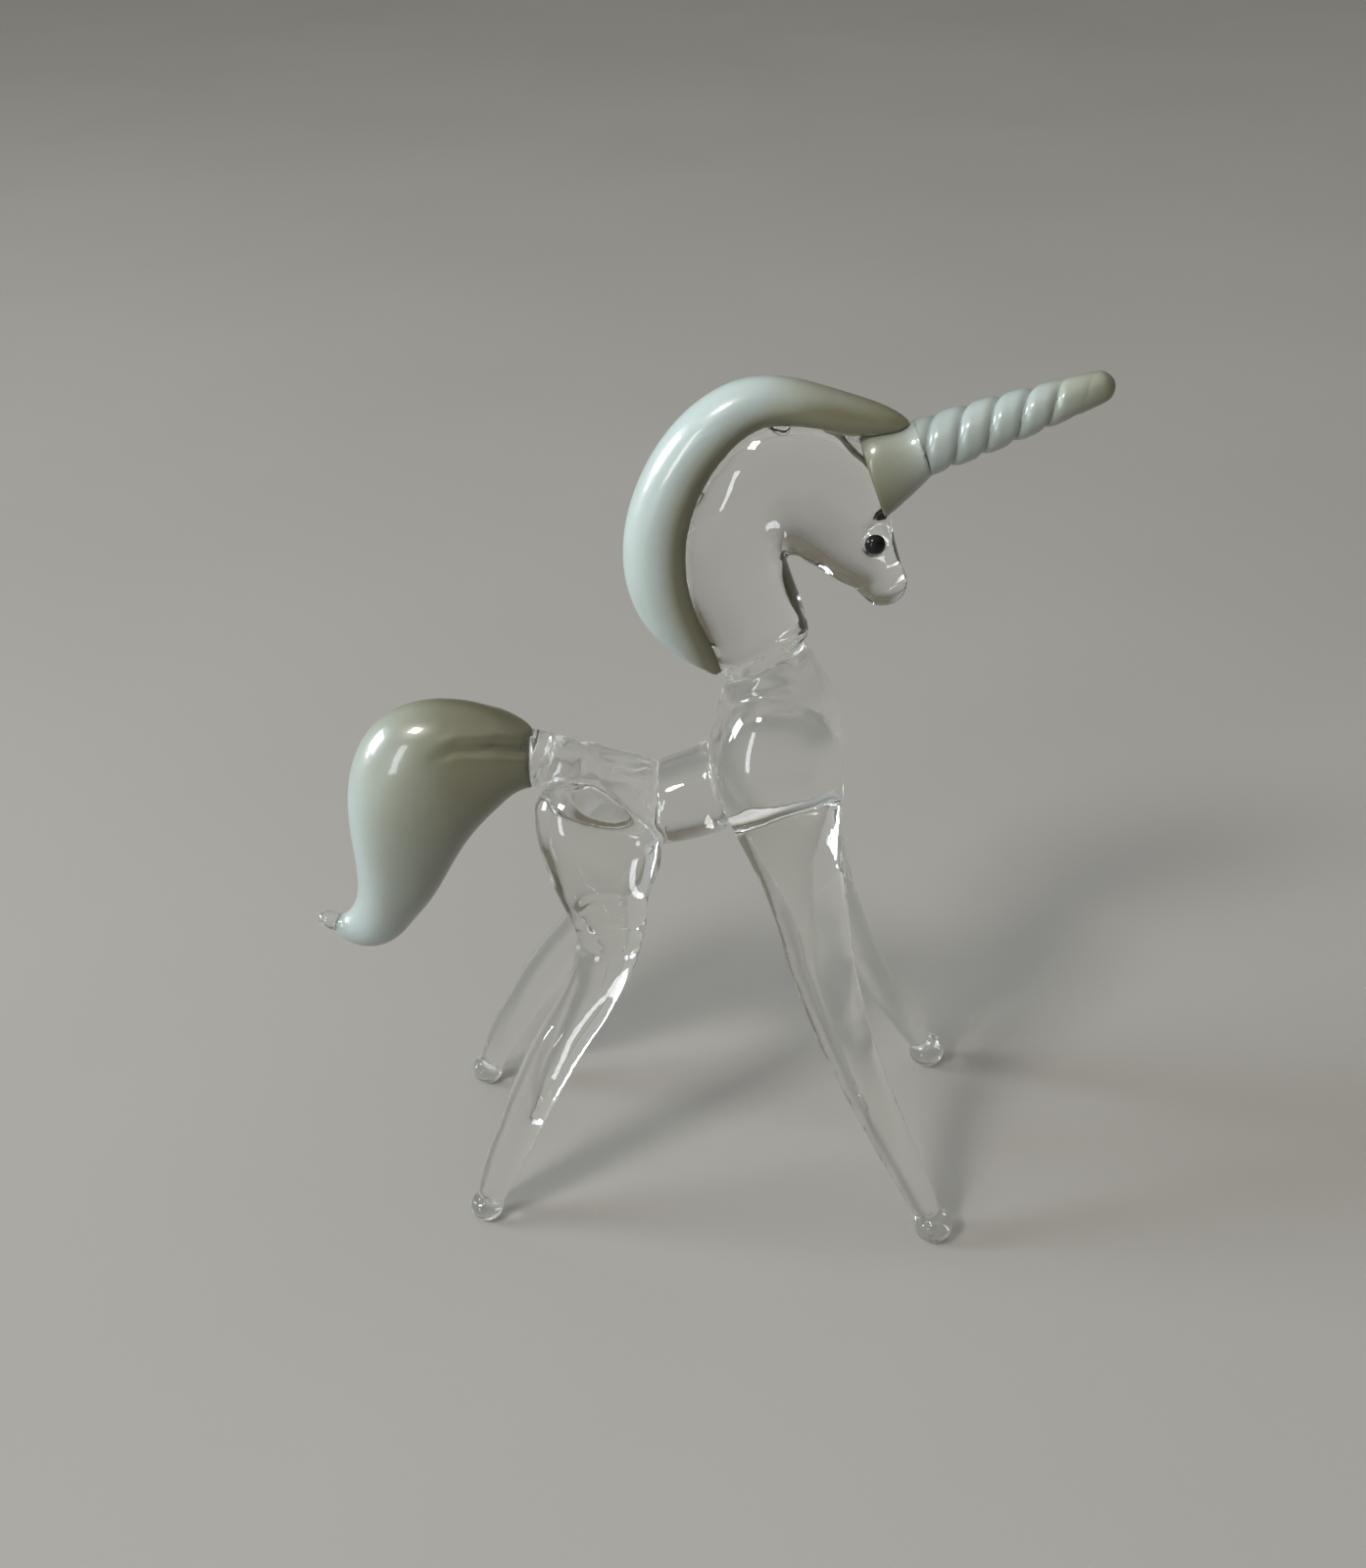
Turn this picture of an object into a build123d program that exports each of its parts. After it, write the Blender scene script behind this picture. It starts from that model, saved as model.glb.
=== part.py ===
from build123d import *
from collections import namedtuple
from math import asin, atan2, cos, degrees, radians, sin
import os

os.makedirs("parts", exist_ok=True)

# Unicorn of flame-worked glass, facing +X with its feet on the floor at Z = 0.
# Each gather of glass is a loft through rings, and neighbours meet face to face at their welds.

# Torso, in millimetres
loin_back = 2.7
loin_height = 46.1
loin_depth = 8.8
loin_width = 8.4
barrel_length = 6.3
barrel_rise = 2.3
barrel_depth = 9.2
barrel_width = 8.8
girth_depth = 9.4
girth_width = 9.0
haunch_length = 8.3
haunch_rise = 3.3
haunch_depth = 9.3
haunch_width = 9.0
croup_depth = 7.0
croup_width = 6.6
chest_reach = 4.0
chest_rise = 14.4
chest_depth = 14.0
chest_width = 10.4
girth_tilt_degrees = 15
croup_tilt_degrees = -24

# Neck, head and muzzle
neck_weld_depth = 9.0
neck_weld_width = 7.0
neck_reach = 2.6
neck_rise = 17.3
neck_depth = 13.7
neck_width = 7.8
poll_width = 7.5
head_reach = 7.75
head_drop = 8.35
head_depth = 13.6
head_width = 7.2
muzzle_weld_depth = 5.4
muzzle_weld_width = 4.6
muzzle_length = 3.7
neck_weld_tilt_degrees = 126
poll_tilt_degrees = 6
muzzle_tilt_degrees = -57

# Eyes
eye_bead_diameter = 3.0
eye_stand = 1.3
pupil_diameter = 2.1
pupil_stand = 0.4

# Tail
tail_root_length = 4.1
tail_root_rise = 2.0
tail_root_depth = 6.2
tail_root_width = 6.0
tail_weld_depth = 6.2
tail_weld_width = 5.4
tail_reach = 21.2
tail_drop = 20.1
tail_depth = 16.6
tail_width = 9.8
tail_end_diameter = 2.0
tail_tip_length = 2.0
tail_end_tilt_degrees = -20

# Mane
mane_depth = 6.4
mane_width = 5.8
mane_bite = 1.2
mane_tip_reach = 5.9

# Horn and its foot
horn_foot_length = 4.4
horn_foot_depth = 8.2
horn_foot_width = 5.8
horn_length = 17.6
horn_root_diameter = 5.3
horn_tip_diameter = 2.6
horn_lead = 5.9
horn_groove_depth = 0.46
horn_tilt_degrees = 20.3

# Legs
shoulder_forward = 5.0
shoulder_rise = 11.9
shoulder_side = 3.4
shoulder_depth = 12.3
shoulder_width = 8.4
fore_stride_right = 18.1
fore_stride_left = 20.6
fore_splay = 10.9
hip_back = 7.9
hip_rise = 4.5
hip_side = 3.6
thigh_depth = 12.2
thigh_width = 8.4
hind_stride_right = -10.6
hind_stride_left = -12.5
hind_splay = 7.6
fore_hoof_diameter = 4.2
hind_hoof_diameter = 3.6
sole_diameter = 1.8

# Rows of rings between two welds: forward and up as shares of the way from weld to weld,
# the ring's tilt in degrees, and its depth and width as shares of the gather's own.
barrel_ring_shares = ((0.5, 0.38, 8, 1.0, 1.0),)
haunch_ring_shares = ((0.46, 0.66, -18, 0.97, 0.98),)
chest_ring_shares = (
    (0.72, 0.22, 28, 0.88, 0.94),
    (1.48, 0.43, 54, 1.0, 1.0),
    (1.44, 0.74, 84, 0.79, 0.86),
)
neck_ring_shares = (
    (-0.69, 0.34, 93, 0.77, 0.97),
    (-1.08, 0.63, 76, 0.77, 1.0),
    (-0.85, 0.81, 50, 0.82, 1.0),
    (-0.115, 0.965, 23, 0.95, 0.98),
)
head_ring_shares = (
    (0.36, 0.095, -12, 1.0, 1.0),
    (0.625, 0.34, -25, 0.84, 0.97),
    (0.815, 0.713, -43, 0.575, 0.85),
)
tail_root_ring_shares = ((0.4, 0.3, -8, 1.0, 1.0),)
tail_ring_shares = (
    (0.172, -0.015, 8, 0.64, 0.82),
    (0.351, 0.032, 18, 0.87, 0.96),
    (0.514, 0.153, 25, 1.0, 1.0),
    (0.63, 0.342, 30, 0.99, 0.98),
    (0.703, 0.579, 34, 0.81, 0.90),
    (0.745, 0.795, 35, 0.56, 0.74),
    (0.814, 0.97, 28, 0.39, 0.55),
    (0.922, 1.037, 10, 0.24, 0.33),
)

# Rounded ends: how far along, how deep and how wide
muzzle_end_shares = ((0.45, 0.86, 0.9), (0.78, 0.66, 0.7), (0.94, 0.38, 0.4), (1.0, 0.12, 0.12))
tail_tip_end_shares = ((0.5, 0.87, 0.87), (0.8, 0.6, 0.6), (0.96, 0.28, 0.28), (1.0, 0.1, 0.1))

# Foot of the horn, from its weld back into the forehead: how far back and down, how deep and how wide
horn_foot_ring_shares = ((0.22, 0.045, 0.7, 0.9), (0.62, 0.076, 0.86, 0.97), (1.15, 0.152, 0.99, 1.0))

# Mane: place along the crest counted in rings of the neck, then its depth and width; its tip: how far along
mane_ring_shares = (
    (0.1, 0.14, 0.14),
    (0.45, 0.56, 0.58),
    (1.0, 0.93, 0.95),
    (2.0, 1.0, 1.0),
    (3.0, 0.93, 0.98),
    (4.0, 0.82, 0.92),
    (5.0, 0.68, 0.8),
    (6.0, 0.58, 0.7),
)
mane_tip_shares = ((0.5, 0.45, 0.54), (0.84, 0.25, 0.32), (1.0, 0.08, 0.1))

# How far to either side of a place, in rings, the crest's course is read
mane_course_share = 0.5

# Legs, from the top down: share of the stride, splay and fall, then of the depth and width
foreleg_ring_shares = (
    (0.0, 0.0, 0.0, 0.245, 0.285),
    (0.006, 0.027, 0.022, 0.57, 0.62),
    (0.033, 0.073, 0.082, 0.94, 0.90),
    (0.05, 0.146, 0.168, 1.0, 1.0),
    (0.105, 0.219, 0.253, 0.83, 0.95),
    (0.199, 0.329, 0.348, 0.667, 0.857),
    (0.287, 0.447, 0.468, 0.569, 0.76),
    (0.414, 0.584, 0.597, 0.496, 0.667),
    (0.569, 0.712, 0.717, 0.423, 0.583),
    (0.746, 0.831, 0.836, 0.366, 0.50),
    (0.895, 0.922, 0.932, 0.30, 0.417),
    (0.983, 0.986, 0.99, 0.25, 0.355),
)
thigh_ring_shares = (
    (0.0, 0.0, 0.0, 0.28, 0.285),
    (-0.02, 0.04, 0.025, 0.61, 0.60),
    (-0.13, 0.09, 0.078, 0.90, 0.88),
    (-0.23, 0.13, 0.14, 1.0, 1.0),
    (-0.25, 0.20, 0.218, 0.84, 0.98),
    (-0.29, 0.28, 0.29, 0.64, 0.89),
    (-0.30, 0.34, 0.341, 0.566, 0.81),
)
shank_ring_shares = (
    thigh_ring_shares[-1],
    (-0.245, 0.42, 0.402, 0.53, 0.73),
    (-0.13, 0.49, 0.465, 0.51, 0.67),
    (0.06, 0.58, 0.535, 0.505, 0.63),
    (0.36, 0.72, 0.655, 0.465, 0.57),
    (0.61, 0.84, 0.78, 0.40, 0.51),
    (0.85, 0.94, 0.915, 0.32, 0.43),
    (0.97, 0.99, 0.985, 0.25, 0.36),
)

# Place of the eye on the cheek, as shares of the cheek ring's half depth
eye_forward_share = -0.17
eye_up_share = 0.51

# Twisted horn: two lobes between two grooves, which fade out before the rounded tip
horn_lobe_count = 2
horn_ring_count = 34
horn_lobe_point_count = 9
horn_taper_power = 1.6
horn_groove_end_share = 0.8
horn_groove_fade_share = 0.1
horn_groove_least_share = 0.1
horn_dome_share = 0.07
horn_tip_flat_share = 0.15

# A ring's two sides meet in a faint edge along the crest and the throat
ring_edge_share = 0.02

Ring = namedtuple("Ring", "x y z tilt depth width")


# Plane of a ring: its axis is tilted up from +X, its own X runs to the left and its own Y to the crest
def ring_plane(ring):
    slope = radians(ring.tilt)
    return Plane(origin=(ring.x, ring.y, ring.z), x_dir=(0, 1, 0), z_dir=(cos(slope), 0, sin(slope)))


# Outline of a ring: each side is an arc of a slightly wider ellipse, set in towards the middle
def ring_face(ring):
    shift = ring.width / 2 * ring_edge_share
    half_width = ring.width / 2 + shift
    reach = degrees(asin((1 - (shift / half_width) ** 2) ** 0.5))
    half_depth = ring.depth / 2 / sin(radians(reach))
    with BuildSketch(ring_plane(ring)) as outline:
        with BuildLine():
            EllipticalCenterArc((-shift, 0), half_width, half_depth, -reach, arc_size=2 * reach)
            EllipticalCenterArc((shift, 0), half_width, half_depth, 180 - reach, arc_size=2 * reach)
        make_face()
    return outline.sketch


# Ring at a distance along another ring's axis and out towards its crest
def ring_beyond(ring, along, out, depth, width):
    slope = radians(ring.tilt)
    x = ring.x + along * cos(slope) - out * sin(slope)
    z = ring.z + along * sin(slope) + out * cos(slope)
    return Ring(x, ring.y, z, ring.tilt, depth, width)


# Rings of a gather from weld to weld
def rings_between(first, last, depth, width, ring_shares):
    rings = [first]
    for forward, up, tilt, deep, wide in ring_shares:
        x = first.x + (last.x - first.x) * forward
        z = first.z + (last.z - first.z) * up
        rings.append(Ring(x, 0, z, tilt, depth * deep, width * wide))
    return rings + [last]


# Rings of a rounded end beyond a weld
def end_rings(weld, length, end_shares):
    rings = [weld]
    for along, deep, wide in end_shares:
        rings.append(ring_beyond(weld, length * along, 0, weld.depth * deep, weld.width * wide))
    return rings


# Level rings of a leg from its top to its foot
def leg_rings(top, foot, depth, width, ring_shares):
    rings = []
    for forward, outward, down, deep, wide in ring_shares:
        x = top.X + (foot.X - top.X) * forward
        y = top.Y + (foot.Y - top.Y) * outward
        z = top.Z + (foot.Z - top.Z) * down
        rings.append(Ring(x, y, z, 90, depth * deep, width * wide))
    return rings


# Welds from the tail to the muzzle
loin_weld = Ring(-loin_back, 0, loin_height, 0, loin_depth, loin_width)
girth_weld = Ring(
    loin_weld.x + barrel_length, 0, loin_weld.z + barrel_rise, girth_tilt_degrees, girth_depth, girth_width
)
croup_weld = Ring(
    loin_weld.x - haunch_length, 0, loin_weld.z + haunch_rise, croup_tilt_degrees, croup_depth, croup_width
)
tail_weld = Ring(
    croup_weld.x - tail_root_length, 0, croup_weld.z + tail_root_rise, 0, tail_weld_depth, tail_weld_width
)
tail_end = Ring(
    tail_weld.x - tail_reach,
    0,
    tail_weld.z - tail_drop,
    tail_end_tilt_degrees,
    tail_end_diameter,
    tail_end_diameter,
)
neck_weld = Ring(
    girth_weld.x + chest_reach,
    0,
    girth_weld.z + chest_rise,
    neck_weld_tilt_degrees,
    neck_weld_depth,
    neck_weld_width,
)
poll_weld = Ring(
    neck_weld.x + neck_reach, 0, neck_weld.z + neck_rise, poll_tilt_degrees, neck_depth, poll_width
)
muzzle_weld = Ring(
    poll_weld.x + head_reach,
    0,
    poll_weld.z - head_drop,
    muzzle_tilt_degrees,
    muzzle_weld_depth,
    muzzle_weld_width,
)

# Torso
barrel_rings = rings_between(loin_weld, girth_weld, barrel_depth, barrel_width, barrel_ring_shares)
with BuildPart() as barrel:
    loft(sections=[ring_face(ring) for ring in barrel_rings])
barrel.part.label = "barrel"
export_step(barrel.part, "parts/barrel.step")

haunch_rings = rings_between(croup_weld, loin_weld, haunch_depth, haunch_width, haunch_ring_shares)
with BuildPart() as haunch:
    loft(sections=[ring_face(ring) for ring in haunch_rings])
haunch.part.label = "haunch"
export_step(haunch.part, "parts/haunch.step")

chest_rings = rings_between(girth_weld, neck_weld, chest_depth, chest_width, chest_ring_shares)
with BuildPart() as chest:
    loft(sections=[ring_face(ring) for ring in chest_rings])
chest.part.label = "chest"
export_step(chest.part, "parts/chest.step")

# Neck, head and muzzle
neck_rings = rings_between(neck_weld, poll_weld, neck_depth, neck_width, neck_ring_shares)
with BuildPart() as neck:
    loft(sections=[ring_face(ring) for ring in neck_rings])
neck.part.label = "neck"
export_step(neck.part, "parts/neck.step")

head_rings = rings_between(poll_weld, muzzle_weld, head_depth, head_width, head_ring_shares)
with BuildPart() as head:
    loft(sections=[ring_face(ring) for ring in head_rings])
head.part.label = "head"
export_step(head.part, "parts/head.step")

with BuildPart() as muzzle:
    loft(sections=[ring_face(ring) for ring in end_rings(muzzle_weld, muzzle_length, muzzle_end_shares)])
muzzle.part.label = "muzzle"
export_step(muzzle.part, "parts/muzzle.step")

# Tail
tail_root_rings = rings_between(
    tail_weld, croup_weld, tail_root_depth, tail_root_width, tail_root_ring_shares
)
with BuildPart() as tail_root:
    loft(sections=[ring_face(ring) for ring in tail_root_rings])
tail_root.part.label = "tail_root"
export_step(tail_root.part, "parts/tail_root.step")

tail_rings = rings_between(tail_weld, tail_end, tail_depth, tail_width, tail_ring_shares)
with BuildPart() as tail:
    loft(sections=[ring_face(ring) for ring in tail_rings])
tail.part.label = "tail"
export_step(tail.part, "parts/tail.step")

with BuildPart() as tail_tip:
    loft(sections=[ring_face(ring) for ring in end_rings(tail_end, -tail_tip_length, tail_tip_end_shares)])
tail_tip.part.label = "tail_tip"
export_step(tail_tip.part, "parts/tail_tip.step")

# Horn and its foot on the forehead
poll, brow, cheek = head_rings[1:4]
brow_crest = ring_beyond(brow, 0, brow.depth / 2, 0, 0)
horn_weld = ring_beyond(
    brow_crest._replace(tilt=horn_tilt_degrees), horn_foot_length, 0, horn_root_diameter, horn_root_diameter
)
horn_foot_rings = [horn_weld]
for back, down, deep, wide in horn_foot_ring_shares:
    horn_foot_rings.append(
        ring_beyond(
            horn_weld,
            -horn_foot_length * back,
            -horn_foot_depth * down,
            horn_foot_depth * deep,
            horn_foot_width * wide,
        )
    )
with BuildPart() as horn_foot:
    loft(sections=[ring_face(ring) for ring in horn_foot_rings])
    for neighbour in (head, neck):
        add(neighbour.part, mode=Mode.SUBTRACT)
horn_foot.part.label = "horn_foot"
export_step(horn_foot.part, "parts/horn_foot.step")

with BuildPart() as horn:
    for step in range(horn_ring_count + 1):
        along = step / horn_ring_count
        taper = horn_root_diameter - (horn_root_diameter - horn_tip_diameter) * along**horn_taper_power
        fade = min(1, max(horn_groove_least_share, (horn_groove_end_share - along) / horn_groove_fade_share))
        past = max(0, (along - 1 + horn_dome_share) / horn_dome_share)
        dome = max(horn_tip_flat_share, (1 - past**2) ** 0.5)
        turn = -360 * along * horn_length / horn_lead
        with BuildSketch(ring_plane(horn_weld).offset(horn_length * along)):
            with BuildLine():
                for lobe in range(horn_lobe_count):
                    points = []
                    for mark in range(horn_lobe_point_count):
                        across = 180 * mark / (horn_lobe_point_count - 1)
                        notch = (1 - sin(radians(across))) ** 2
                        radius = (taper / 2 - horn_groove_depth * fade * notch) * dome
                        angle = radians((across / 180 + lobe) * 360 / horn_lobe_count + turn)
                        points.append((radius * cos(angle), radius * sin(angle)))
                    Spline(*points)
            make_face()
    loft()
horn.part.label = "horn"
export_step(horn.part, "parts/horn.step")

# Mane along the crest of the neck, with its tip over the horn's foot
crest = [ring_beyond(ring, 0, ring.depth / 2, 0, 0) for ring in neck_rings + [poll]]


# Point of the crest at a place counted in rings
def crest_at(place):
    last = len(crest) - 1
    place = min(max(place, 0), last)
    behind = crest[int(place)]
    ahead = crest[min(int(place) + 1, last)]
    past = place - int(place)
    return Vector(behind.x + (ahead.x - behind.x) * past, 0, behind.z + (ahead.z - behind.z) * past)


mane_rings = []
for place, deep, wide in mane_ring_shares:
    foot = crest_at(place)
    course = crest_at(place + mane_course_share) - crest_at(place - mane_course_share)
    way = degrees(atan2(course.Z, course.X))
    out = (mane_depth / 2 - mane_bite) * deep
    mane_rings.append(
        ring_beyond(Ring(foot.X, 0, foot.Z, way, 0, 0), 0, out, mane_depth * deep, mane_width * wide)
    )
mane_front = mane_rings[-1]
for along, deep, wide in mane_tip_shares:
    mane_rings.append(
        ring_beyond(mane_front, mane_tip_reach * along, 0, mane_depth * deep, mane_width * wide)
    )
with BuildPart() as mane:
    loft(sections=[ring_face(ring) for ring in mane_rings])
    for neighbour in (neck, head, horn_foot):
        add(neighbour.part, mode=Mode.SUBTRACT)
mane.part.label = "mane"
export_step(mane.part, "parts/mane.step")

# Eyes
eye_place = ring_beyond(cheek, cheek.depth / 2 * eye_forward_share, cheek.depth / 2 * eye_up_share, 0, 0)
eye_side = cheek.width / 2 * (1 - eye_up_share**2) ** 0.5 + eye_stand - eye_bead_diameter / 2
pupil_side = eye_side + eye_bead_diameter / 2 + pupil_stand - pupil_diameter / 2
for side_name, side in (("right", -1), ("left", 1)):
    with BuildPart() as eye_bead:
        with Locations((eye_place.x, side * eye_side, eye_place.z)):
            Sphere(eye_bead_diameter / 2)
        for neighbour in (head, muzzle):
            add(neighbour.part, mode=Mode.SUBTRACT)
    eye_bead.part.label = f"eye_bead_{side_name}"
    export_step(eye_bead.part, f"parts/eye_bead_{side_name}.step")

    with BuildPart() as pupil:
        with Locations((eye_place.x, side * pupil_side, eye_place.z)):
            Sphere(pupil_diameter / 2)
        for neighbour in (eye_bead, head):
            add(neighbour.part, mode=Mode.SUBTRACT)
    pupil.part.label = f"pupil_{side_name}"
    export_step(pupil.part, f"parts/pupil_{side_name}.step")

# Legs
fore_hoof_height = ((fore_hoof_diameter / 2) ** 2 - (sole_diameter / 2) ** 2) ** 0.5
hind_hoof_height = ((hind_hoof_diameter / 2) ** 2 - (sole_diameter / 2) ** 2) ** 0.5
for side_name, side, fore_stride, hind_stride in (
    ("right", -1, fore_stride_right, hind_stride_right),
    ("left", 1, fore_stride_left, hind_stride_left),
):
    shoulder = Vector(girth_weld.x + shoulder_forward, side * shoulder_side, girth_weld.z + shoulder_rise)
    fore_foot = Vector(shoulder.X + fore_stride, side * (shoulder_side + fore_splay), fore_hoof_height)
    hip = Vector(loin_weld.x - hip_back, side * hip_side, loin_weld.z + hip_rise)
    hind_foot = Vector(hip.X + hind_stride, side * (hip_side + hind_splay), hind_hoof_height)

    with BuildPart() as fore_hoof:
        with Locations(fore_foot):
            Sphere(fore_hoof_diameter / 2)
        split(bisect_by=Plane.XY, keep=Keep.TOP)
    fore_hoof.part.label = f"fore_hoof_{side_name}"
    export_step(fore_hoof.part, f"parts/fore_hoof_{side_name}.step")

    with BuildPart() as hind_hoof:
        with Locations(hind_foot):
            Sphere(hind_hoof_diameter / 2)
        split(bisect_by=Plane.XY, keep=Keep.TOP)
    hind_hoof.part.label = f"hind_hoof_{side_name}"
    export_step(hind_hoof.part, f"parts/hind_hoof_{side_name}.step")

    foreleg_rings = leg_rings(shoulder, fore_foot, shoulder_depth, shoulder_width, foreleg_ring_shares)
    with BuildPart() as foreleg:
        loft(sections=[ring_face(ring) for ring in foreleg_rings])
        for neighbour in (chest, barrel, neck, fore_hoof):
            add(neighbour.part, mode=Mode.SUBTRACT)
    foreleg.part.label = f"foreleg_{side_name}"
    export_step(foreleg.part, f"parts/foreleg_{side_name}.step")

    thigh_rings = leg_rings(hip, hind_foot, thigh_depth, thigh_width, thigh_ring_shares)
    with BuildPart() as thigh:
        loft(sections=[ring_face(ring) for ring in thigh_rings])
        for neighbour in (haunch, barrel, tail_root):
            add(neighbour.part, mode=Mode.SUBTRACT)
    thigh.part.label = f"thigh_{side_name}"
    export_step(thigh.part, f"parts/thigh_{side_name}.step")

    shank_rings = leg_rings(hip, hind_foot, thigh_depth, thigh_width, shank_ring_shares)
    with BuildPart() as hind_shank:
        loft(sections=[ring_face(ring) for ring in shank_rings])
        add(hind_hoof.part, mode=Mode.SUBTRACT)
    hind_shank.part.label = f"hind_shank_{side_name}"
    export_step(hind_shank.part, f"parts/hind_shank_{side_name}.step")
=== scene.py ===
import math
import bmesh
import bpy
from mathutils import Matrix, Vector
from mathutils.bvhtree import BVHTree


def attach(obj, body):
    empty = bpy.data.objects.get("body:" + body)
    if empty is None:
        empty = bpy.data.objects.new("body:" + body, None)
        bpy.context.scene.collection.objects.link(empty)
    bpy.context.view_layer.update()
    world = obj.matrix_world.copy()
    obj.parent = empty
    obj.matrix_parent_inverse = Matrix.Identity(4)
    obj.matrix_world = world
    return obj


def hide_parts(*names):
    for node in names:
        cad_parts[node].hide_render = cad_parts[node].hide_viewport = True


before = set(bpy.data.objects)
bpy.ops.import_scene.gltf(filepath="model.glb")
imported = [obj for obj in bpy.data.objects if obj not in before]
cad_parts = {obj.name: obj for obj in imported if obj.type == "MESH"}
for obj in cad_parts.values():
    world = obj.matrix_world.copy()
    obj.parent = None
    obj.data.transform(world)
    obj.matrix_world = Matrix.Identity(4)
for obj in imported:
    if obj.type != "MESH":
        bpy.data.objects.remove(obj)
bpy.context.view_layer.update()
scene = bpy.context.scene
millimetres = 1000  # in a metre
print("frame loaded with", len(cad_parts), "nodes")


# small helpers that stand in for clicks

mergeDistance = 0.000002


def deselectAll():
    bpy.ops.object.select_all(action='DESELECT')


def pick(piece):
    deselectAll()
    piece.select_set(True)
    bpy.context.view_layer.objects.active = piece


def copyNode(nodeName, pieceName):
    piece = bpy.data.objects.new(pieceName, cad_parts[nodeName].data.copy())
    piece.data.name = pieceName
    piece.data.materials.clear()
    scene.collection.objects.link(piece)
    pick(piece)
    bpy.ops.object.mode_set(mode='EDIT')
    bpy.ops.mesh.select_all(action='SELECT')
    bpy.ops.mesh.remove_doubles(threshold=mergeDistance)
    bpy.ops.object.mode_set(mode='OBJECT')
    return piece


def applyModifier(piece, kind, **settings):
    pick(piece)
    bpy.ops.object.modifier_add(type=kind)
    modifier = piece.modifiers[-1]
    for key, value in settings.items():
        setattr(modifier, key, value)
    bpy.ops.object.modifier_apply(modifier=modifier.name)


def nodeTree(nodeName):
    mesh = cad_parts[nodeName].data
    return BVHTree.FromPolygons(
        [vertex.co.copy() for vertex in mesh.vertices], [list(face.vertices) for face in mesh.polygons]
    )


# camera, at the photograph's height and tilt

cameraSettings = {
    "place": (0.0, -0.158, 0.147),
    "pitch": 32,
    "lens": 42.75,
    "sensor": 36,
    "nearest": 0.005,
    "farthest": 20,
}
bpy.ops.object.camera_add(
    location=cameraSettings["place"], rotation=(math.radians(90 - cameraSettings["pitch"]), 0, 0)
)
scene.camera = bpy.context.object
scene.camera.data.lens = cameraSettings["lens"]
scene.camera.data.sensor_width = cameraSettings["sensor"]
scene.camera.data.clip_start = cameraSettings["nearest"]
scene.camera.data.clip_end = cameraSettings["farthest"]
print("camera set")


# materials

def newMaterial(name):
    material = bpy.data.materials.new(name)
    material.use_nodes = True
    nodes, links = material.node_tree.nodes, material.node_tree.links
    return material, nodes, links, nodes["Principled BSDF"]


def noiseNode(nodes, links, coords, scale, detail):
    noise = nodes.new("ShaderNodeTexNoise")
    noise.inputs["Scale"].default_value = scale
    noise.inputs["Detail"].default_value = detail
    links.new(coords.outputs["Object"], noise.inputs["Vector"])
    return noise


def rampNode(nodes, links, source, stops):
    ramp = nodes.new("ShaderNodeValToRGB")
    while len(ramp.color_ramp.elements) < len(stops):
        ramp.color_ramp.elements.new(0.5)
    for element, (place, colour) in zip(ramp.color_ramp.elements, stops):
        element.position = place
        element.color = (*colour, 1)
    links.new(source, ramp.inputs["Fac"])
    return ramp


def bumpNode(nodes, links, source, strength, distance):
    bump = nodes.new("ShaderNodeBump")
    bump.inputs["Strength"].default_value = strength
    bump.inputs["Distance"].default_value = distance
    links.new(source, bump.inputs["Height"])
    return bump


# faint unevenness of a fire-polished surface
def polishBump(nodes, links, coords, shader, wave):
    noise = noiseNode(nodes, links, coords, wave["scale"], wave["detail"])
    ripple = bumpNode(nodes, links, noise.outputs["Fac"], wave["strength"], wave["depth"])
    links.new(ripple.outputs["Normal"], shader.inputs["Normal"])


clearSettings = {
    "colour": (0.975, 0.985, 0.975, 1),
    "ior": 1.47,
    "wave": {"scale": 170, "detail": 1.0, "strength": 0.12, "depth": 0.0001},
}


def clearGlassMaterial():
    material, nodes, links, shader = newMaterial("clearGlass")
    shader.inputs["Base Color"].default_value = clearSettings["colour"]
    shader.inputs["Transmission Weight"].default_value = 1
    shader.inputs["IOR"].default_value = clearSettings["ior"]
    shader.inputs["Roughness"].default_value = 0.0
    coords = nodes.new("ShaderNodeTexCoord")
    polishBump(nodes, links, coords, shader, clearSettings["wave"])
    return material


def weldMaterial():
    material = bpy.data.materials.new("weldInside")
    material.use_nodes = True
    nodes, links = material.node_tree.nodes, material.node_tree.links
    nodes.remove(nodes["Principled BSDF"])
    see = nodes.new("ShaderNodeBsdfTransparent")
    links.new(see.outputs["BSDF"], nodes["Material Output"].inputs["Surface"])
    return material


# each opal piece runs from pale to olive along a direction, given in millimetres from and to; the run is
# partly the glass's own olive tint and partly painted shade on the side that faces away from the light, and
# each piece's colour scale is painted light and shade, lighter for the mane and horn foot and darker for the
# tail and horn
opalSettings = {
    "pale": (0.345, 0.395, 0.385),
    "cream": (0.30, 0.325, 0.28),
    "olive": (0.165, 0.162, 0.105),
    "stops": ((0.0, "pale"), (0.35, "cream"), (1.0, "olive")),
    "mottle": {"scale": 70, "detail": 3.0, "low": 0.3, "high": 0.7, "share": 0.2},
    "roughness": 0.3,
    "ior": 1.5,
    "subsurface": 0.15,
    "subsurfaceRadius": (1.0, 0.85, 0.5),
    "subsurfaceScale": 0.0015,
    "coat": 0.5,
    "coatRoughness": 0.04,
    "wave": {"scale": 260, "detail": 2.0, "strength": 0.12, "depth": 0.0001},
    "tail": {"way": (1.0, 0.0, 0.35), "from": -19.0, "to": -1.0, "paintedLightScale": 0.92},
    "mane": {"way": (1.0, 0.0, 0.0), "from": 6.5, "to": 17.0, "paintedLightScale": 1.08},
    "horn_foot": {"way": (-1.0, 0.0, -0.6), "from": -73.0, "to": -65.0, "paintedLightScale": 1.06},
    "horn": {"way": (1.0, 0.0, 0.0), "from": 31.0, "to": 39.0, "paintedLightScale": 0.98},
}
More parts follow.
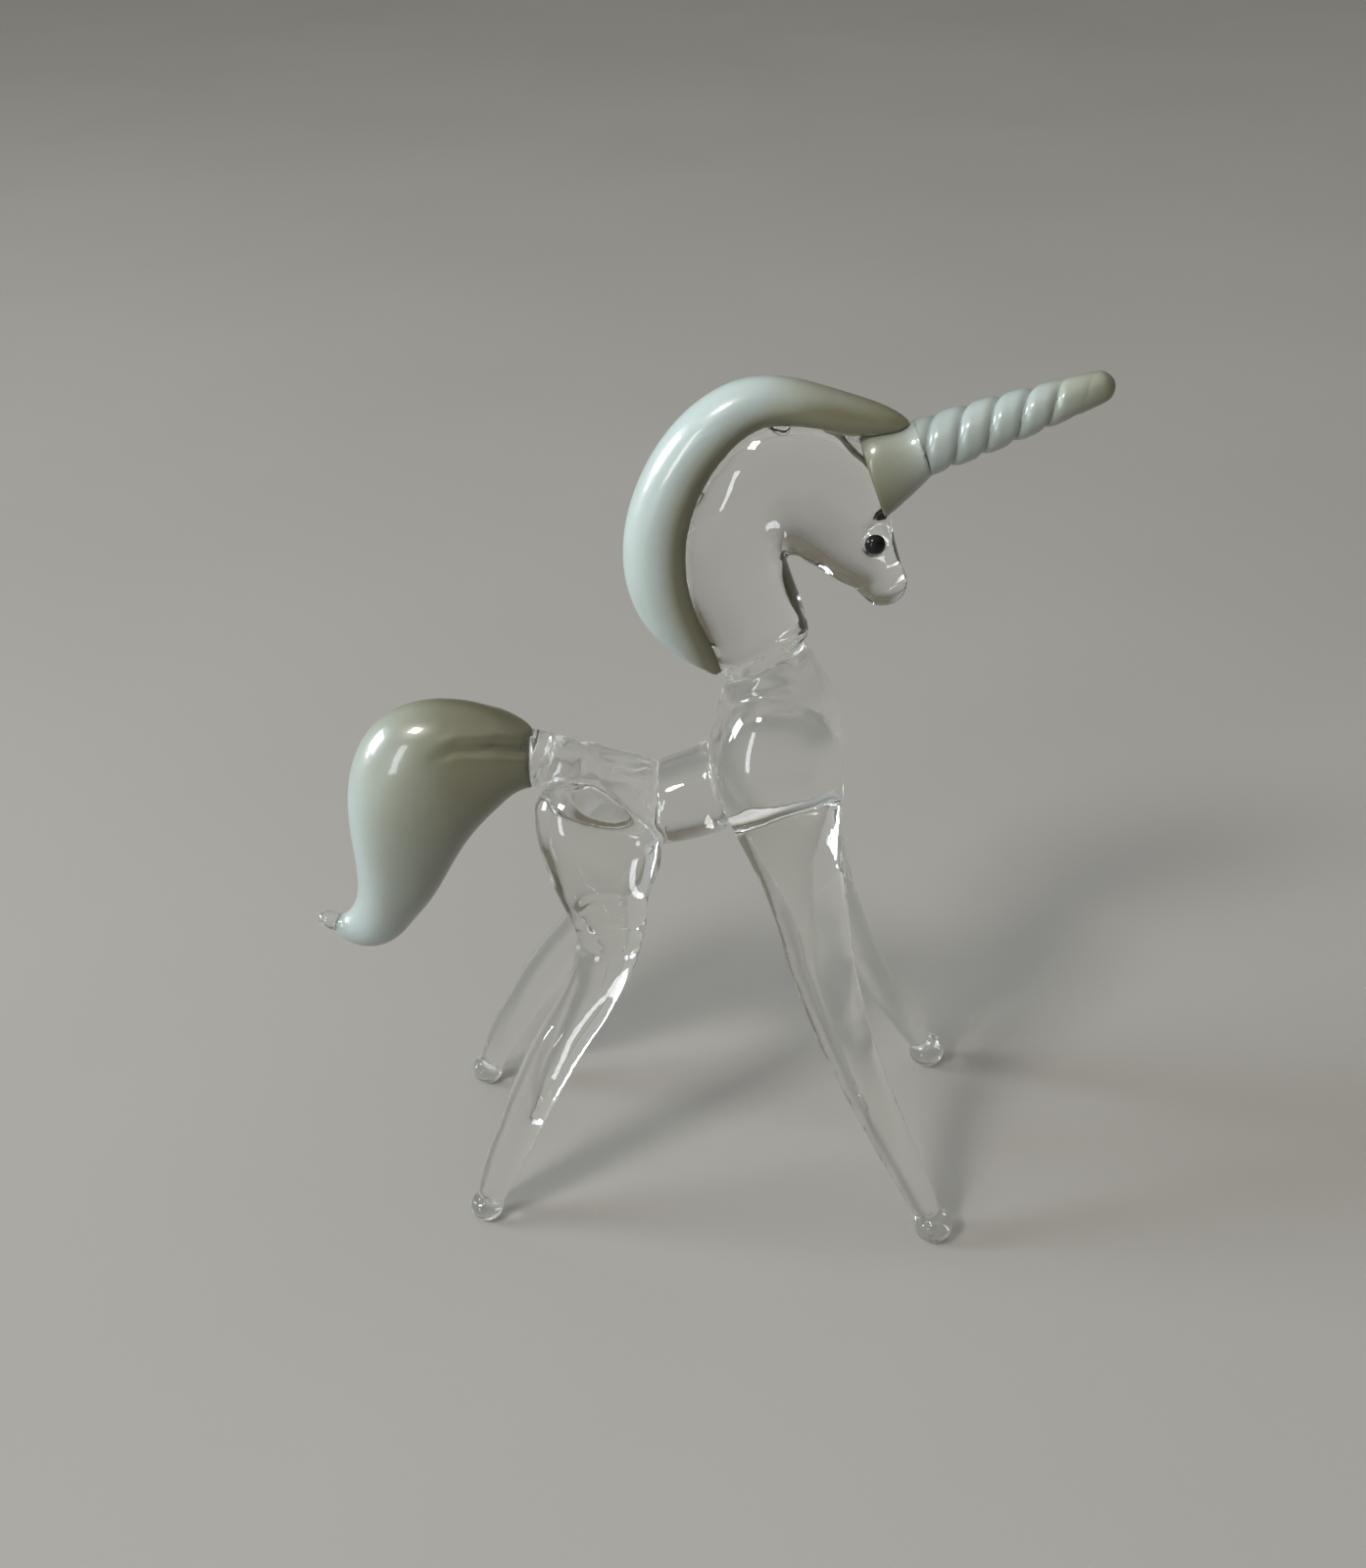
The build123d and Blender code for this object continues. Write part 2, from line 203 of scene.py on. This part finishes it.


# how olive the glass is and how much shade is painted on it: along its run, partly its own tint and partly
# painted shade, with a mottle, and with painted shade beside a weld
def oliveAndShadeShare(nodes, links, coords, run):
    mottle = opalSettings["mottle"]
    along = nodes.new("ShaderNodeVectorMath")
    along.operation = 'DOT_PRODUCT'
    along.inputs[1].default_value = run["way"]
    links.new(coords.outputs["Object"], along.inputs[0])
    share = nodes.new("ShaderNodeMapRange")
    share.inputs["From Min"].default_value = run["from"] / millimetres
    share.inputs["From Max"].default_value = run["to"] / millimetres
    links.new(along.outputs["Value"], share.inputs["Value"])
    cloud = noiseNode(nodes, links, coords, mottle["scale"], mottle["detail"])
    sway = nodes.new("ShaderNodeMapRange")
    sway.inputs["From Min"].default_value = mottle["low"]
    sway.inputs["From Max"].default_value = mottle["high"]
    sway.inputs["To Min"].default_value = -mottle["share"]
    sway.inputs["To Max"].default_value = mottle["share"]
    links.new(cloud.outputs["Fac"], sway.inputs["Value"])
    mottled = nodes.new("ShaderNodeMath")
    mottled.operation = 'ADD'
    links.new(share.outputs["Result"], mottled.inputs[0])
    links.new(sway.outputs["Result"], mottled.inputs[1])
    # painted shade beside the mane's weld with the neck and head
    near = nodes.new("ShaderNodeAttribute")
    near.attribute_name = "weldNear"
    total = nodes.new("ShaderNodeMath")
    total.operation = 'ADD'
    links.new(mottled.outputs["Value"], total.inputs[0])
    links.new(near.outputs["Fac"], total.inputs[1])
    return total.outputs["Value"]


def opalGlassMaterial(pieceName):
    run = opalSettings[pieceName]
    material, nodes, links, shader = newMaterial(pieceName + "Opal")
    coords = nodes.new("ShaderNodeTexCoord")
    # the ramp paints shade as well as the glass's olive tint, and the per-piece scale paints light and shade
    colour = rampNode(nodes, links, oliveAndShadeShare(nodes, links, coords, run), [
        (place, [run["paintedLightScale"] * part for part in opalSettings[tint]])
        for place, tint in opalSettings["stops"]
    ])
    links.new(colour.outputs["Color"], shader.inputs["Base Color"])
    shader.inputs["Roughness"].default_value = opalSettings["roughness"]
    shader.inputs["IOR"].default_value = opalSettings["ior"]
    shader.inputs["Subsurface Weight"].default_value = opalSettings["subsurface"]
    shader.inputs["Subsurface Radius"].default_value = opalSettings["subsurfaceRadius"]
    shader.inputs["Subsurface Scale"].default_value = opalSettings["subsurfaceScale"]
    shader.inputs["Coat Weight"].default_value = opalSettings["coat"]
    shader.inputs["Coat Roughness"].default_value = opalSettings["coatRoughness"]
    polishBump(nodes, links, coords, shader, opalSettings["wave"])
    return material


blackSettings = {
    "smear": {"scale": 900, "detail": 2.0},
    "stops": ((0.3, (0.006, 0.006, 0.007)), (0.7, (0.016, 0.015, 0.016))),
    "roughness": 0.08,
    "ior": 1.5,
    "specular": 0.2,
}


def blackGlassMaterial():
    material, nodes, links, shader = newMaterial("blackGlass")
    coords = nodes.new("ShaderNodeTexCoord")
    smear = noiseNode(nodes, links, coords, blackSettings["smear"]["scale"], blackSettings["smear"]["detail"])
    colour = rampNode(nodes, links, smear.outputs["Fac"], blackSettings["stops"])
    links.new(colour.outputs["Color"], shader.inputs["Base Color"])
    shader.inputs["Roughness"].default_value = blackSettings["roughness"]
    shader.inputs["IOR"].default_value = blackSettings["ior"]
    shader.inputs["Specular IOR Level"].default_value = blackSettings["specular"]
    return material


clearGlass = clearGlassMaterial()
weldInside = weldMaterial()
blackGlass = blackGlassMaterial()
print("materials mixed")


# clear body: every clear gather is joined, melted into one skin, and parted again at its welds

skinSettings = {
    "nodes": (
        "tail_root", "haunch", "barrel", "chest", "neck", "head", "muzzle",
        "eye_bead_right", "eye_bead_left", "foreleg_right", "foreleg_left", "thigh_right", "thigh_left",
        "hind_shank_right", "hind_shank_left", "fore_hoof_right", "fore_hoof_left",
        "hind_hoof_right", "hind_hoof_left",
    ),
    "voxel": 0.00025,
    "smoothFactor": 0.5,
    "smoothRounds": 5,
    "rippleSize": 0.005,
    "rippleHeight": 0.00019,
    "rippleMiddle": 0.7,
    "rippleDetail": 1,
    "tidyRounds": 8,
    "softSteps": 2,
    "softRounds": 5,
    "softFactor": 0.5,
    "creaseDepth": 0.00022,
    "creaseSteps": 3,
    "creaseRounds": 3,
    "creaseless": (
        ("neck", "head"), ("head", "muzzle"), ("chest", "foreleg_right"), ("chest", "foreleg_left"),
    ),
    "beads": ("eye_bead_right", "eye_bead_left"),
}


def meltSkin():
    copies = [copyNode(name, "melt_" + name) for name in skinSettings["nodes"]]
    deselectAll()
    for piece in copies:
        piece.select_set(True)
    bpy.context.view_layer.objects.active = copies[0]
    bpy.ops.object.join()
    skin = bpy.context.object
    applyModifier(skin, 'REMESH', mode='VOXEL', voxel_size=skinSettings["voxel"])
    applyModifier(
        skin, 'SMOOTH', factor=skinSettings["smoothFactor"], iterations=skinSettings["smoothRounds"]
    )
    ripple = bpy.data.textures.new("handRipple", 'CLOUDS')
    ripple.noise_scale = skinSettings["rippleSize"]
    ripple.noise_depth = skinSettings["rippleDetail"]
    applyModifier(
        skin, 'DISPLACE', texture=ripple,
        strength=skinSettings["rippleHeight"], mid_level=skinSettings["rippleMiddle"],
    )
    print("clear skin melted:", len(skin.data.polygons), "faces")
    return skin


def gatherOfEachFace(skin):
    corners, faces, owners = [], [], []
    for index, name in enumerate(skinSettings["nodes"]):
        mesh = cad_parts[name].data
        first = len(corners)
        corners.extend(vertex.co.copy() for vertex in mesh.vertices)
        faces.extend([first + corner for corner in face.vertices] for face in mesh.polygons)
        owners.extend([index] * len(mesh.polygons))
    tree = BVHTree.FromPolygons(corners, faces)
    return [owners[tree.find_nearest(face.center)[2]] for face in skin.data.polygons]


def faceNeighbours(bm):
    neighbours = [[] for face in bm.faces]
    for edge in bm.edges:
        pair = [face.index for face in edge.link_faces]
        for one in pair:
            neighbours[one].extend(other for other in pair if other != one)
    return neighbours


# a face goes over to the gather that more of its neighbours belong to
def evenGathers(neighbours, gathers):
    for tidyRound in range(skinSettings["tidyRounds"]):
        for index, around in enumerate(neighbours):
            others = [gathers[other] for other in around]
            usual = max(set(others), key=others.count)
            if usual != gathers[index] and others.count(usual) > others.count(gathers[index]):
                gathers[index] = usual


# stray islands go to the gather around them
def joinIslands(neighbours, gathers):
    seen = [False] * len(gathers)
    islands = {}
    for start in range(len(gathers)):
        if seen[start]:
            continue
        island, reach = [], [start]
        seen[start] = True
        while reach:
            index = reach.pop()
            island.append(index)
            for other in neighbours[index]:
                if not seen[other] and gathers[other] == gathers[start]:
                    seen[other] = True
                    reach.append(other)
        islands.setdefault(gathers[start], []).append(island)
    for group in islands.values():
        group.sort(key=len)
        for island in group[:-1]:
            inside = set(island)
            rim = [gathers[other] for index in island for other in neighbours[index] if other not in inside]
            for index in island:
                gathers[index] = max(set(rim), key=rim.count) if rim else gathers[index]


# the welds that show as a groove
def weldVertices(bm, gathers):
    names = skinSettings["nodes"]
    quiet = [{names.index(one), names.index(other)} for one, other in skinSettings["creaseless"]]
    beads = {names.index(name) for name in skinSettings["beads"]}
    welds = []
    for vertex in bm.verts:
        around = {gathers[face.index] for face in vertex.link_faces}
        if len(around) > 1 and around not in quiet and not around & beads:
            welds.append(vertex)
    return welds


def softenWelds(bm, welds):
    soft = set(welds)
    for spreadStep in range(skinSettings["softSteps"]):
        soft |= {edge.other_vert(vertex) for vertex in soft for edge in vertex.link_edges}
    for smoothRound in range(skinSettings["softRounds"]):
        bmesh.ops.smooth_vert(
            bm, verts=list(soft), factor=skinSettings["softFactor"],
            use_axis_x=True, use_axis_y=True, use_axis_z=True,
        )
    bm.normal_update()


def pressWelds(bm, welds):
    press = [0.0] * len(bm.verts)
    for vertex in welds:
        press[vertex.index] = 1.0
    for spreadStep in range(skinSettings["creaseSteps"] - 1):
        share = 1 - (spreadStep + 1) / skinSettings["creaseSteps"]
        rim = [vertex for vertex in bm.verts if press[vertex.index] == 0]
        grown = [
            vertex for vertex in rim
            if any(press[edge.other_vert(vertex).index] > 0 for edge in vertex.link_edges)
        ]
        for vertex in grown:
            press[vertex.index] = share
    around = [[edge.other_vert(vertex).index for edge in vertex.link_edges] for vertex in bm.verts]
    for smoothRound in range(skinSettings["creaseRounds"]):
        press = [
            (press[index] + sum(press[other] for other in others) / len(others)) / 2
            for index, others in enumerate(around)
        ]
    for vertex in bm.verts:
        vertex.co -= vertex.normal * skinSettings["creaseDepth"] * press[vertex.index]


# the beads round the eyes go back to their true spheres
def roundBeads(bm, gathers):
    for name in skinSettings["beads"]:
        bead = skinSettings["nodes"].index(name)
        tree = nodeTree(name)
        for vertex in bm.verts:
            if all(gathers[face.index] == bead for face in vertex.link_faces):
                vertex.co = tree.find_nearest(vertex.co)[0]


# open edges in rings, each run the way its faces go round
def openRings(bm):
    ahead = {}
    for edge in bm.edges:
        if edge.is_boundary:
            corner = edge.link_loops[0]
            ahead.setdefault(corner.vert, []).append(corner.link_loop_next.vert)
    rings = []
    while ahead:
        walk = [next(iter(ahead))]
        while walk[-1] in ahead:
            here = walk[-1]
            onward = ahead[here].pop()
            if not ahead[here]:
                del ahead[here]
            if onward in walk:
                place = walk.index(onward)
                rings.append(walk[place:])
                del walk[place + 1:]
            else:
                walk.append(onward)
    return rings


def closeWelds(piece):
    bm = bmesh.new()
    bm.from_mesh(piece.data)
    for ring in openRings(bm):
        middle = bm.verts.new(sum((vertex.co for vertex in ring), Vector()) / len(ring))
        for one, other in zip(ring, ring[1:] + ring[:1]):
            lid = bm.faces.new((other, one, middle))
            lid.material_index = 1
    bm.to_mesh(piece.data)
    bm.free()


# a parted gather gets its name, its lids and the normals that it had in the whole skin
def finishGather(piece):
    label = piece.data.materials[0]
    nodeName = label.name[len("gather_"):]
    piece.name = piece.data.name = nodeName + "_glass"
    piece.data.materials.clear()
    piece.data.materials.append(clearGlass)
    piece.data.materials.append(weldInside)
    for face in piece.data.polygons:
        face.material_index = 0
    closeWelds(piece)
    kept = [spot.vector.copy() for spot in piece.data.attributes["skinNormal"].data]
    piece.data.normals_split_custom_set_from_vertices(kept)
    piece.data.attributes.remove(piece.data.attributes["skinNormal"])
    bpy.data.materials.remove(label)
    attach(piece, "root")
    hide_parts(nodeName)


def partSkin(skin):
    gathers = gatherOfEachFace(skin)
    bm = bmesh.new()
    bm.from_mesh(skin.data)
    bm.faces.ensure_lookup_table()
    bm.verts.ensure_lookup_table()
    neighbours = faceNeighbours(bm)
    evenGathers(neighbours, gathers)
    joinIslands(neighbours, gathers)
    welds = weldVertices(bm, gathers)
    softenWelds(bm, welds)
    pressWelds(bm, welds)
    roundBeads(bm, gathers)
    for vertex in bm.verts:
        vertex.co.z = max(vertex.co.z, 0.0)
    bm.to_mesh(skin.data)
    bm.free()
    skin.data.materials.clear()
    for name in skinSettings["nodes"]:
        skin.data.materials.append(bpy.data.materials.new("gather_" + name))
    for face, gather in zip(skin.data.polygons, gathers):
        face.material_index = gather
        face.use_smooth = True
    normals = skin.data.attributes.new("skinNormal", 'FLOAT_VECTOR', 'POINT')
    for vertex, spot in zip(skin.data.vertices, normals.data):
        spot.vector = vertex.normal
    pick(skin)
    bpy.ops.object.mode_set(mode='EDIT')
    bpy.ops.mesh.select_all(action='SELECT')
    bpy.ops.mesh.separate(type='MATERIAL')
    bpy.ops.object.mode_set(mode='OBJECT')
    for piece in list(bpy.context.selected_objects):
        finishGather(piece)
    print("clear skin parted at its welds")


partSkin(meltSkin())


# opal and black glass, each sunk a hair into the clear glass that it is welded to

sinkSettings = {"reach": 0.00006, "depth": 0.00025}
shadeAngles = {"usual": 40, "horn": 60}


def nearestOf(trees, place):
    return min((tree.find_nearest(place) for tree in trees), key=lambda near: near[3])


def sinkWelds(piece, neighbours):
    trees = [nodeTree(name) for name in neighbours]
    for vertex in piece.data.vertices:
        place, way, face, gap = nearestOf(trees, vertex.co)
        if gap < sinkSettings["reach"]:
            vertex.co -= way * sinkSettings["depth"]


def addPiece(nodeName, pieceName, material, neighbours=(), angle=shadeAngles["usual"]):
    piece = copyNode(nodeName, pieceName)
    piece.data.materials.append(material)
    if neighbours:
        sinkWelds(piece, neighbours)
    pick(piece)
    bpy.ops.object.shade_smooth_by_angle(angle=math.radians(angle))
    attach(piece, "root")
    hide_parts(nodeName)
    return piece


def evenMesh(piece, settings):
    applyModifier(piece, 'REMESH', mode='VOXEL', voxel_size=settings["voxel"], use_smooth_shade=True)
    applyModifier(piece, 'SMOOTH', factor=settings["smoothFactor"], iterations=settings["smoothRounds"])


# the fold where the tail was drawn off the rump, given in millimetres of length and height
tailSettings = {
    "voxel": 0.0003,
    "smoothFactor": 0.5,
    "smoothRounds": 3,
    "fold": ((-14.5, 53.2), (-18.2, 54.3), (-22.0, 54.5), (-25.0, 53.4)),
    "foldDepth": 0.7,
    "foldWidth": 0.55,
    "ridgeHeight": 0.25,
    "ridgeAbove": 1.1,
    "fadeGain": 1.5,
}


def foldTail(piece):
    evenMesh(piece, tailSettings)
    course = tailSettings["fold"]
    length = course[0][0] - course[-1][0]
    moves = []
    for vertex in piece.data.vertices:
        along, up = vertex.co.x * millimetres, vertex.co.z * millimetres
        if not course[-1][0] < along:
            continue
        for ahead, behind in zip(course, course[1:]):
            if along >= behind[0]:
                break
        line = behind[1] + (ahead[1] - behind[1]) * (along - behind[0]) / (ahead[0] - behind[0])
        fade = min(1, (along - course[-1][0]) / length * tailSettings["fadeGain"])
        groove = tailSettings["foldDepth"] * math.exp(-(((up - line) / tailSettings["foldWidth"]) ** 2))
        above = (up - line - tailSettings["ridgeAbove"]) / tailSettings["foldWidth"]
        ridge = tailSettings["ridgeHeight"] * math.exp(-(above ** 2))
        moves.append((vertex, vertex.normal * (ridge - groove) * fade / millimetres))
    for vertex, move in moves:
        vertex.co += move


# the mane is evened, and painted shade darkens it to olive beside its weld with the neck and head
maneSettings = {
    "voxel": 0.0003,
    "smoothFactor": 0.5,
    "smoothRounds": 3,
    "weldedTo": ("neck", "head"),
    "weldShadeReach": 0.0030,
    "weldShadeGain": 1.6,
}


def shadeMane(piece):
    evenMesh(piece, maneSettings)
    trees = [nodeTree(name) for name in maneSettings["weldedTo"]]
    # painted shade: darker the nearer the weld with the neck and head
    near = piece.data.attributes.new("weldNear", 'FLOAT', 'POINT')
    for vertex, spot in zip(piece.data.vertices, near.data):
        share = max(0, 1 - nearestOf(trees, vertex.co)[3] / maneSettings["weldShadeReach"])
        spot.value = maneSettings["weldShadeGain"] * share * share * (3 - 2 * share)


manePiece = addPiece("mane", "mane_opal", opalGlassMaterial("mane"), maneSettings["weldedTo"])
shadeMane(manePiece)
tailPiece = addPiece("tail", "tail_opal", opalGlassMaterial("tail"), ("tail_root", "tail_tip"))
foldTail(tailPiece)
addPiece("horn_foot", "horn_foot_opal", opalGlassMaterial("horn_foot"), ("head", "neck"))
addPiece("horn", "horn_opal", opalGlassMaterial("horn"), (), shadeAngles["horn"])
addPiece("tail_tip", "tail_tip_glass", clearGlass)
addPiece("pupil_right", "pupil_right_black", blackGlass, ("eye_bead_right",))
addPiece("pupil_left", "pupil_left_black", blackGlass, ("eye_bead_left",))
print("opal and black glass set")


# floor

floorSettings = {
    "size": 6.0,
    "patch": {"scale": 9, "detail": 3.0},
    "stops": ((0.35, (0.345, 0.329, 0.308)), (0.65, (0.36, 0.343, 0.322))),
    "roughness": 0.9,
    "specular": 0.1,
}
bpy.ops.mesh.primitive_plane_add(size=floorSettings["size"], location=(0, 0, 0))
floor = bpy.context.object
floor.name = "floor"
material, nodes, links, shader = newMaterial("floorTone")
coords = nodes.new("ShaderNodeTexCoord")
patch = noiseNode(nodes, links, coords, floorSettings["patch"]["scale"], floorSettings["patch"]["detail"])
tone = rampNode(nodes, links, patch.outputs["Fac"], floorSettings["stops"])
links.new(tone.outputs["Color"], shader.inputs["Base Color"])
shader.inputs["Roughness"].default_value = floorSettings["roughness"]
shader.inputs["Specular IOR Level"].default_value = floorSettings["specular"]
floor.data.materials.append(material)


# light: a cool window from the left, a warmer lamp from the left front, a narrow pane for the glints,
# a small glint, and a dim room that is brighter to the left and overhead

lightSettings = {
    "aim": (0.0, 0.0, 0.045),
    "window": {
        "place": (-1.14, 0.0, 0.40), "width": 0.50, "height": 0.38, "spread": 70,
        "power": 2.1, "colour": (0.82, 0.94, 1.0),
    },
    "lamp": {
        "place": (-0.44, -0.46, 0.70), "width": 0.16, "height": 0.16, "spread": 180,
        "power": 3.9, "colour": (1.0, 0.97, 0.91),
    },
    "pane": {
        "place": (-0.62, -0.74, 0.20), "width": 0.12, "height": 0.50, "spread": 180,
        "power": 2.1, "colour": (0.93, 0.97, 1.0),
    },
    "glint": {
        "place": (-1.0, 0.02, 0.13), "width": 0.08, "height": 0.08, "spread": 180,
        "power": 0.7, "colour": (1.0, 1.0, 1.0),
    },
    "leftWay": (-1.0, 0.0, 0.1),
    "leftStops": ((0.1, (0.0, 0.0, 0.0)), (0.9, (0.30, 0.35, 0.39))),
    "roomStops": ((0.55, (0.145, 0.13, 0.098)), (0.95, (0.70, 0.69, 0.67))),
}


def addSoftbox(name, settings):
    bpy.ops.object.light_add(type='AREA', location=settings["place"])
    lamp = bpy.context.object
    lamp.name = name
    lamp.data.shape = 'RECTANGLE'
    lamp.data.size = settings["width"]
    lamp.data.size_y = settings["height"]
    lamp.data.energy = settings["power"]
    lamp.data.color = settings["colour"]
    lamp.data.spread = math.radians(settings["spread"])
    way = Vector(lightSettings["aim"]) - Vector(settings["place"])
    lamp.rotation_euler = way.to_track_quat('-Z', 'Y').to_euler()


for lampName in ("window", "lamp", "pane", "glint"):
    addSoftbox(lampName, lightSettings[lampName])

world = bpy.data.worlds.new("room")
world.use_nodes = True
scene.world = world
nodes, links = world.node_tree.nodes, world.node_tree.links
coords = nodes.new("ShaderNodeTexCoord")
facing = nodes.new("ShaderNodeVectorMath")
facing.operation = 'DOT_PRODUCT'
facing.inputs[1].default_value = lightSettings["leftWay"]
links.new(coords.outputs["Generated"], facing.inputs[0])
left = rampNode(nodes, links, facing.outputs["Value"], lightSettings["leftStops"])
parts = nodes.new("ShaderNodeSeparateXYZ")
links.new(coords.outputs["Generated"], parts.inputs["Vector"])
room = rampNode(nodes, links, parts.outputs["Z"], lightSettings["roomStops"])
total = nodes.new("ShaderNodeVectorMath")
total.operation = 'ADD'
links.new(left.outputs["Color"], total.inputs[0])
links.new(room.outputs["Color"], total.inputs[1])
links.new(total.outputs["Vector"], nodes["Background"].inputs["Color"])
nodes["Background"].inputs["Strength"].default_value = 1.0
print("stage and light set")

# light that is trapped in the solid glass needs many bounces to get out again
bounceSettings = {"glass": 300, "welds": 100}
scene.cycles.transparent_max_bounces = bounceSettings["welds"]
scene.cycles.max_bounces = bounceSettings["glass"]
scene.cycles.transmission_bounces = bounceSettings["glass"]
scene.cycles.glossy_bounces = bounceSettings["glass"]
scene.view_settings.view_transform = 'Standard'
